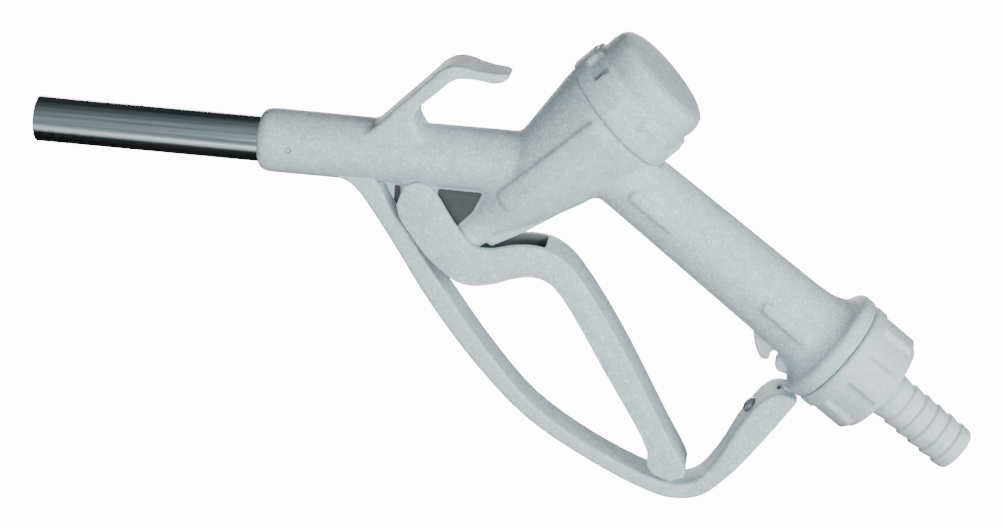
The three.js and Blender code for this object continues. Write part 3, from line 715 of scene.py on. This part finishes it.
# %% [markdown]
# The guard is a flat strap bent into a loop around the lever. Its rear arm is wider, because it is slotted
# over a tongue under the end ring and held there by one screw. The width grows smoothly along the arm.

# %% Guard loop
GUARD_HALF, GUARD_REAR_HALF, WIDENING_START, WIDENING = 8.8, 10.6, 186, 22
GUARD_OUTER = [
    (31, -10.6), (35.4, -11.5), (39.8, -13.5), (43.7, -17.2), (47.4, -22), (56, -34), (75, -62),
    (96, -87.5), (118, -108.4), (145, -124.6), (171, -136), (182, -138.3), (193.2, -136), (204, -126),
    (217.6, -107.8), (230.4, -88.2),
]
GUARD_INNER = [
    (226.4, -86.6), (221.4, -86.2), (216.8, -88.4), (207.7, -100.8), (199.4, -117.8), (191, -129),
    (182.5, -131.6), (171.5, -129.2), (146, -118.2), (120.5, -102), (101, -81.4), (82, -57), (62.2, -29.8),
    (58, -24.4), (54.9, -18.8), (52.2, -14.4), (50, -11.6),
]
GUARD_SIDE = [(31, -6)] + flowing(GUARD_OUTER) + flowing(GUARD_INNER) + [(50, -6)]
guard = block("guard_loop", GUARD_SIDE, GUARD_HALF, edge=1.1)
fused(guard, voxel=0.7, rounds=0)
for vertex in guard.data.vertices:
    share = min(max((vertex.co.x - at(WIDENING_START, 0).x) / (WIDENING * MM), 0), 1)
    vertex.co.y *= 1 + (GUARD_REAR_HALF / GUARD_HALF - 1) * share * share * (3 - 2 * share)
saddle = turned("saddle", SPOUT, [(0, 20), (13.2, 20), (13.2, 40), (13, 70), (13, 80), (0, 80)])
ring_room = turned("ring_room", GRIP, [(0, 115), (25.3, 115), (25.3, 148), (0, 148)])
slot_cut = block("slot_cut", [on(GRIP, 127, -12), on(GRIP, 139, -12), (222.4, -103.4), (213.4, -98.6)], 3.1)
head_room = turned("head_room", SCREW, [(0, -6), (3.9, -6), (3.9, 0), (2.3, 0), (2.3, 14), (0, 14)], 32)
without(guard, saddle, ring_room, slot_cut, head_room)
smoothed(guard, rounds=3)
hand_over(guard, "body", "lever_guard", PALE_PLASTIC)

# %% [markdown]
# The lever is squeezed towards the grip. Its upper end is a fork: two cheeks pass either side of the lug,
# and the wall behind them pushes on the valve's stem.

# %% Lever
LEVER_LOWER = [
    (59.2, -19.6), (60.6, -25), (66.2, -33), (73, -41.2), (79.4, -46.6), (85.6, -50.6), (92.6, -51.8),
    (101.4, -50), (109.6, -47), (116.4, -45.6), (123.4, -47.2), (129.6, -53), (149.4, -83.4), (170, -117.4),
    (170.2, -123), (173, -127.2), (180.6, -129.8),
]
LEVER_UPPER = [
    (186.2, -127.4), (186.4, -124.4), (176.4, -107), (153.4, -67.6), (137.4, -44.8), (130.6, -37.6),
    (123.6, -33.6), (116, -32.4), (107.4, -33.2), (98.4, -35.4), (91.4, -34.6), (86.4, -29.6), (80.8, -22),
    (76.4, -15.4), (73, -11.6), (67.5, -9.6), (62, -11.6),
]
LEVER_HALF, FORK_HALF, PIN_RADIUS, PIN_HALF = 10.7, 7.7, 3.3, 9.5
lever = block("squeeze_lever", flowing(LEVER_LOWER) + flowing(LEVER_UPPER), LEVER_HALF, edge=0.9)
fork_room = block("fork_room", eased([
    (50, -22, 0), (50, 0, 0), (118, 0, 0), (123, -30, 0), (118, -40.5, 3), (102, -46.4, 3), (94, -48.6, 3),
    (*on(VALVE, -60, -6.4), 2), (*on(VALVE, -60, 6.4), 2), (66.6, -29.8, 4), (62, -26.5, 2),
]), FORK_HALF)
pin_hole = block("pin_hole", arc(PIVOT, PIN_RADIUS, 0, 360, 15), PIN_HALF)
without(lever, fork_room, pin_hole)
hand_over(lever, "lever", "lever", LEVER_PLASTIC)

# %% [markdown]
# The cap closes the valve chamber and is tightened by hand or spanner, so wide pads stand
# above its skirt. Its top is a low, closed dome with a rounded rim.

# %% Valve cap
skirt = turned("skirt", VALVE, [
    (0, 33.8), (26.1, 33.8), (26.9, 34.7), (26.9, 40), (26.2, 40.8), (0, 40.8),
])
CAP_TURN = math.radians(43)
pads = padded_ring("cap_pads", VALVE, count=6, crest=26.9, recess=24.9, share=0.6,
                   start=40, end=45.6, turn=CAP_TURN)
pad_ends = padded_ring("cap_pad_ends", VALVE, count=6, crest=26.2, recess=24.9, share=0.6,
                       start=45, end=47.8, turn=CAP_TURN, flank=4.0)
dome = turned("dome", VALVE, [
    (0, 46), (24.2, 46), (24.6, 53), (24.2, 56.6), (22.8, 59), (20, 60.4), (16, 61), (8, 61.5),
    (0, 61.6),
])
plug = turned("plug", VALVE, [(0, 24), (17.2, 24), (17.2, 35.5), (0, 35.5)])
cap = joined("screw_cap", skirt, pads, pad_ends, dome, plug)
fused(cap, voxel=0.55, rounds=4)
spring_well = turned("spring_well", VALVE, [(0, 23), (11.5, 23), (11.5, 49), (0, 49)], 64)
seal_groove = turned("seal_groove", VALVE, [
    (15.1, 26.4), (18.5, 26.4), (18.5, 29.2), (15.1, 29.2), (15.1, 26.4),
], 64)
without(cap, spring_well, seal_groove)
hand_over(cap, "body", "valve_cap", PALE_PLASTIC)

# %% [markdown]
# The union nut pulls the tail against its gasket. It is a collar with five wide pads for the fingers.

# %% Union nut
collar = turned("collar", GRIP, [
    (0, 136.5), (23.8, 136.5), (24.6, 137.3), (24.6, 141.8), (23.5, 143), (0, 143),
])
pads = padded_ring("pads", GRIP, count=5, crest=23.6, recess=21.8, share=0.5,
                   start=142, end=157.4, turn=math.radians(57))
end = turned("end", GRIP, [(0, 150), (21.2, 150), (22, 157), (20.8, 160), (0, 160)])
nut = joined("union_nut_moulding", collar, pads, end)
fused(nut, voxel=0.55, rounds=3)
neck_room = turned("neck_room", GRIP, [(0, 133.5), (17.3, 133.5), (17.3, 153.4), (0, 153.4)])
tail_room = turned("tail_room", GRIP, [(0, 150), (11.2, 150), (11.2, 163), (0, 163)])
without(nut, neck_room, tail_room)
hand_over(nut, "nut", "union_nut", HOSE_END_PLASTIC)

# %% [markdown]
# The tail's barbs grip the hose. Each rises steeply on the nut's side and runs out in a long slope to the
# end. They repeat at one pitch, so a loop adds them to the section before it is spun.

# %% Barbed tail
section = [(7, 148), (15.6, 148), (15.6, 153), (10.7, 153), (10.7, 162.5), (9.2, 164)]
BARBS, BARBS_STATION = 6, 164
pitch = (TAIL_STATION - BARBS_STATION) / BARBS
for i in range(BARBS):
    start = BARBS_STATION + i * pitch
    section += [(9.2, start + 0.05), (9.9, start + 0.5), (10.2, start + 1), (10.1, start + 1.6)]
    if i < BARBS - 1:
        section.append((9.3, start + pitch - 0.15))
section += [(9.8, 200.4), (9.5, 201.2), (8.9, 202), (7.3, 202), (7, 201.7), (7, 148)]
tail = turned("barbed_tail", GRIP, section)
hand_over(tail, "tail", "hose_tail", HOSE_END_PLASTIC, angle=40)

# %% [markdown]
# The spout is a plain steel tube. Only its cut end and its bore need care: both edges are broken slightly.

# %% Spout
spout = turned("spout", SPOUT, [
    (8.3, -94.2), (8.45, -94.5), (9.1, -94.5), (9.4, -94.35), (9.5, -94.1), (9.5, 13.5), (8.8, 14.1),
    (8.8, 16.4), (9.5, 17), (9.5, 25.7), (8.3, 25.7), (8.3, -94.2),
], 128)
hand_over(spout, "body", "spout_tube", DRAWN_STEEL)

# %% [markdown]
# The guard's screw has a low rounded head with a cross slot. Its section is spun like the other round
# pieces, and two thin bars cut the cross.

# %% Guard screw
screw = turned("guard_screw_turned", SCREW, [
    (0, -2.6), (1.2, -2.55), (2.2, -2.25), (2.9, -1.7), (3.3, -1), (3.5, -0.4), (3.4, -0.3), (1.3, -0.3),
    (1.3, 6.6), (0.7, 7.2), (0, 7.2),
], 48)
for wide, deep in ((3.6, 0.7), (0.7, 3.6)):
    bpy.ops.object.select_all(action="DESELECT")
    bpy.ops.mesh.primitive_cube_add(size=1, location=at(*on(SCREW, -2.4)), rotation=(0, -SCREW[2], 0))
    bar = bpy.context.object
    bar.scale = (1.4 * MM, wide * MM, deep * MM)
    without(screw, bar)
hand_over(screw, "body", "guard_screw", TURNED_STEEL)

# %% [markdown]
# The valve's spring is wire wound round a rod. Here a circle of wire is carried up and round by a screw.
# It shortens from its lower end as the stem lifts the valve.

# %% Main spring
SPRING_FOOT, SPRING_TOP, SPRING_RADIUS, WIRE, TURNS = 14.1, 47.6, 8, 0.95, 6
bpy.ops.object.select_all(action="DESELECT")
bpy.ops.mesh.primitive_circle_add(vertices=14, radius=WIRE * MM, location=(SPRING_RADIUS * MM, 0, 0),
                                  rotation=(math.pi / 2, 0, 0))
spring = bpy.context.object
spring.name = spring.data.name = "main_spring_coil"
bpy.ops.object.transform_apply(location=True, rotation=True)
wind = spring.modifiers.new("wind", "SCREW")
wind.screw_offset = (SPRING_TOP - SPRING_FOOT) / TURNS * MM
wind.iterations, wind.steps, wind.render_steps = TURNS, 36, 36
bpy.ops.object.modifier_apply(modifier=wind.name)
bpy.ops.object.mode_set(mode="EDIT")
bpy.ops.mesh.select_all(action="SELECT")
bpy.ops.mesh.fill_holes(sides=14)
tidy_mesh(spring)
spring.matrix_world = (Matrix.Translation(at(*on(VALVE, SPRING_FOOT)))
                       @ direction(VALVE).to_track_quat("Z", "Y").to_matrix().to_4x4())
bpy.ops.object.transform_apply(location=True, rotation=True)
hand_over(spring, "body", "main_spring", SPRING_STEEL, angle=60)
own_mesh(spring)

# %% [markdown]
# Seals, pins and the valve's inner parts are simple shapes, and most of them sit inside. Their measured
# solids are carried over as they are, so here they only get a finish.

# %% Materials for the inner pieces
INNER = {
    "spout_seal": BLACK_RUBBER, "valve_cap_seal": BLACK_RUBBER, "poppet_seal": BLACK_RUBBER,
    "stem_seal_upper": BLACK_RUBBER, "stem_seal_lower": BLACK_RUBBER, "tail_gasket": BLACK_RUBBER,
    "valve_poppet": NATURAL_PLASTIC, "stem_guide": NATURAL_PLASTIC,
    "stem_button": NATURAL_PLASTIC, "seal_retainer": TURNED_STEEL, "valve_stem": TURNED_STEEL,
    "lever_pin": PIN_PLASTIC, "spout_pin": PIN_PLASTIC, "inlet_strainer": STRAINER_STEEL,
}
for name, material in INNER.items():
    node = frame["nodes"][name]
    for place in node.material_slots:
        place.material = material
print("carried nodes with a finish:", len(INNER))

# %% [markdown]
# The nozzle stands clear over a plain floor. The camera sees it as pure white, as in a catalogue, but the
# light that bounces off it is that of a grey floor, so it only fills the undersides softly.

# %% Floor
WHITE = 14.0
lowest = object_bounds()[0][2]
bpy.ops.object.select_all(action="DESELECT")
bpy.ops.mesh.primitive_plane_add(size=8, location=(-0.19, 0, lowest - 0.002))
floor = bpy.context.object
floor.name = "floor"
paint = bpy.data.materials.new("white floor")
paint.use_nodes = True
tree = paint.node_tree
tree.nodes.clear()
result = tree.nodes.new("ShaderNodeOutputMaterial")
rays = tree.nodes.new("ShaderNodeLightPath")
matt = tree.nodes.new("ShaderNodeBsdfDiffuse")
matt.inputs["Color"].default_value = (0.3, 0.31, 0.32, 1)
glow = tree.nodes.new("ShaderNodeEmission")
glow.inputs["Strength"].default_value = WHITE
seen = tree.nodes.new("ShaderNodeMixShader")
wire(tree, rays.outputs["Is Camera Ray"], seen.inputs["Fac"])
wire(tree, matt.outputs["BSDF"], seen.inputs[1])
wire(tree, glow.outputs["Emission"], seen.inputs[2])

# %% [markdown]
# Reflections see the floor in yet another way: dark close under the nozzle and grey far in front, with one
# bright band between, which puts the long highlight low on the steel tube. A colour ramp over the
# distance in front paints it.

# %% Floor in reflections
spot = tree.nodes.new("ShaderNodeNewGeometry")
apart = tree.nodes.new("ShaderNodeSeparateXYZ")
wire(tree, spot.outputs["Position"], apart.inputs["Vector"])
band = tree.nodes.new("ShaderNodeValToRGB")
ramp = band.color_ramp
ramp.elements[0].position, ramp.elements[0].color = 0.0, (0.25, 0.27, 0.28, 1)
ramp.elements[1].position, ramp.elements[1].color = 0.45, (0.3, 0.32, 0.33, 1)
for position, shade in ((0.62, 2.2), (0.72, 2.2), (0.85, 0.03), (1.0, 0.02)):
    ramp.elements.new(position).color = (shade, shade, shade, 1)
spread = tree.nodes.new("ShaderNodeMapRange")
spread.inputs["From Min"].default_value, spread.inputs["From Max"].default_value = -0.6, 0.0
wire(tree, apart.outputs["Y"], spread.inputs["Value"])
wire(tree, spread.outputs["Result"], band.inputs["Fac"])
mirror = tree.nodes.new("ShaderNodeEmission")
wire(tree, band.outputs["Color"], mirror.inputs["Color"])
final = tree.nodes.new("ShaderNodeMixShader")
wire(tree, rays.outputs["Is Glossy Ray"], final.inputs["Fac"])
wire(tree, seen.outputs["Shader"], final.inputs[1])
wire(tree, mirror.outputs["Emission"], final.inputs[2])
wire(tree, final.outputs["Shader"], result.inputs["Surface"])
floor.data.materials.append(paint)
print("floor at z", round(floor.location.z, 4))

# %% [markdown]
# A long lens a metre away keeps parallel edges nearly parallel. It looks from above and from a little to
# the right, and is turned slightly about its own axis.

# %% Camera
AZIMUTH, ELEVATION, ROLL = math.radians(6), math.radians(19), math.radians(3.58)
DISTANCE, FOCAL_LENGTH = 1.0375, 89.73
level = math.cos(ELEVATION)
back = Vector((math.sin(AZIMUTH) * level, -math.cos(AZIMUTH) * level, math.sin(ELEVATION)))
right = Vector((math.cos(AZIMUTH), math.sin(AZIMUTH), 0))
up = back.cross(right)
right, up = right * math.cos(ROLL) + up * math.sin(ROLL), up * math.cos(ROLL) - right * math.sin(ROLL)
target = at(102.961, -44.497)
lens = bpy.data.cameras.new("camera")
lens.lens, lens.sensor_width = FOCAL_LENGTH, 36
camera = bpy.data.objects.new("camera", lens)
bpy.context.collection.objects.link(camera)
placed = Matrix((right, up, back)).transposed().to_4x4()
placed.translation = target + back * DISTANCE
camera.matrix_world = placed
bpy.context.scene.camera = camera
print("camera at", tuple(round(c, 3) for c in placed.translation))

# %% [markdown]
# Three softboxes light it: a large one in front, almost level with it, so that faces turned up come out
# darker; a smaller, weaker one at the right; and a large one behind for the far side. Each is an area
# lamp turned towards the point the camera looks at.

# %% Lights
def softbox(name, direction_from, distance, size, power):
    lamp = bpy.data.lights.new(name, "AREA")
    lamp.shape, lamp.size, lamp.size_y = "RECTANGLE", *size
    lamp.energy = power
    holder = bpy.data.objects.new(name, lamp)
    bpy.context.collection.objects.link(holder)
    away = Vector(direction_from).normalized()
    holder.location = target + away * distance
    holder.rotation_euler = away.to_track_quat("Z", "Y").to_euler()


softbox("front softbox", (0.2, -1, 0.04), 1.5, (1.0, 0.6), 36)
softbox("right softbox", (1, -0.5, 0.3), 1.2, (0.6, 0.5), 11)
softbox("back fill", (-0.15, 1, 0.1), 1.5, (1.0, 0.6), 26)

# %% [markdown]
# The surroundings are a little lighter in front than behind. Reflections see them four times as strong as
# other light does, so that steel has something to mirror, and the camera sees plain white.

# %% Surroundings
world = bpy.data.worlds.new("studio air")
bpy.context.scene.world = world
world.use_nodes = True
tree = world.node_tree
air = tree.nodes["Background"]
coords = tree.nodes.new("ShaderNodeTexCoord")
apart = tree.nodes.new("ShaderNodeSeparateXYZ")
wire(tree, coords.outputs["Generated"], apart.inputs["Vector"])
facing = tree.nodes.new("ShaderNodeMapRange")
facing.inputs["From Min"].default_value, facing.inputs["From Max"].default_value = 0.35, -0.9
wire(tree, apart.outputs["Y"], facing.inputs["Value"])
shade = tree.nodes.new("ShaderNodeValToRGB")
shade.color_ramp.elements[0].color = (0.02, 0.024, 0.025, 1)
shade.color_ramp.elements[1].color = (0.2, 0.22, 0.225, 1)
wire(tree, facing.outputs["Result"], shade.inputs["Fac"])
wire(tree, shade.outputs["Color"], air.inputs["Color"])
rays = tree.nodes.new("ShaderNodeLightPath")
power = tree.nodes.new("ShaderNodeMapRange")
power.inputs["To Min"].default_value, power.inputs["To Max"].default_value = 0.5, 2.0
wire(tree, rays.outputs["Is Glossy Ray"], power.inputs["Value"])
wire(tree, power.outputs["Result"], air.inputs["Strength"])
backdrop = tree.nodes.new("ShaderNodeBackground")
backdrop.inputs["Color"].default_value = (1, 1, 1, 1)
backdrop.inputs["Strength"].default_value = WHITE
choice = tree.nodes.new("ShaderNodeMixShader")
wire(tree, rays.outputs["Is Camera Ray"], choice.inputs["Fac"])
wire(tree, air.outputs["Background"], choice.inputs[1])
wire(tree, backdrop.outputs["Background"], choice.inputs[2])
wire(tree, choice.outputs["Shader"], tree.nodes["World Output"].inputs["Surface"])
print("surroundings:", world.name)
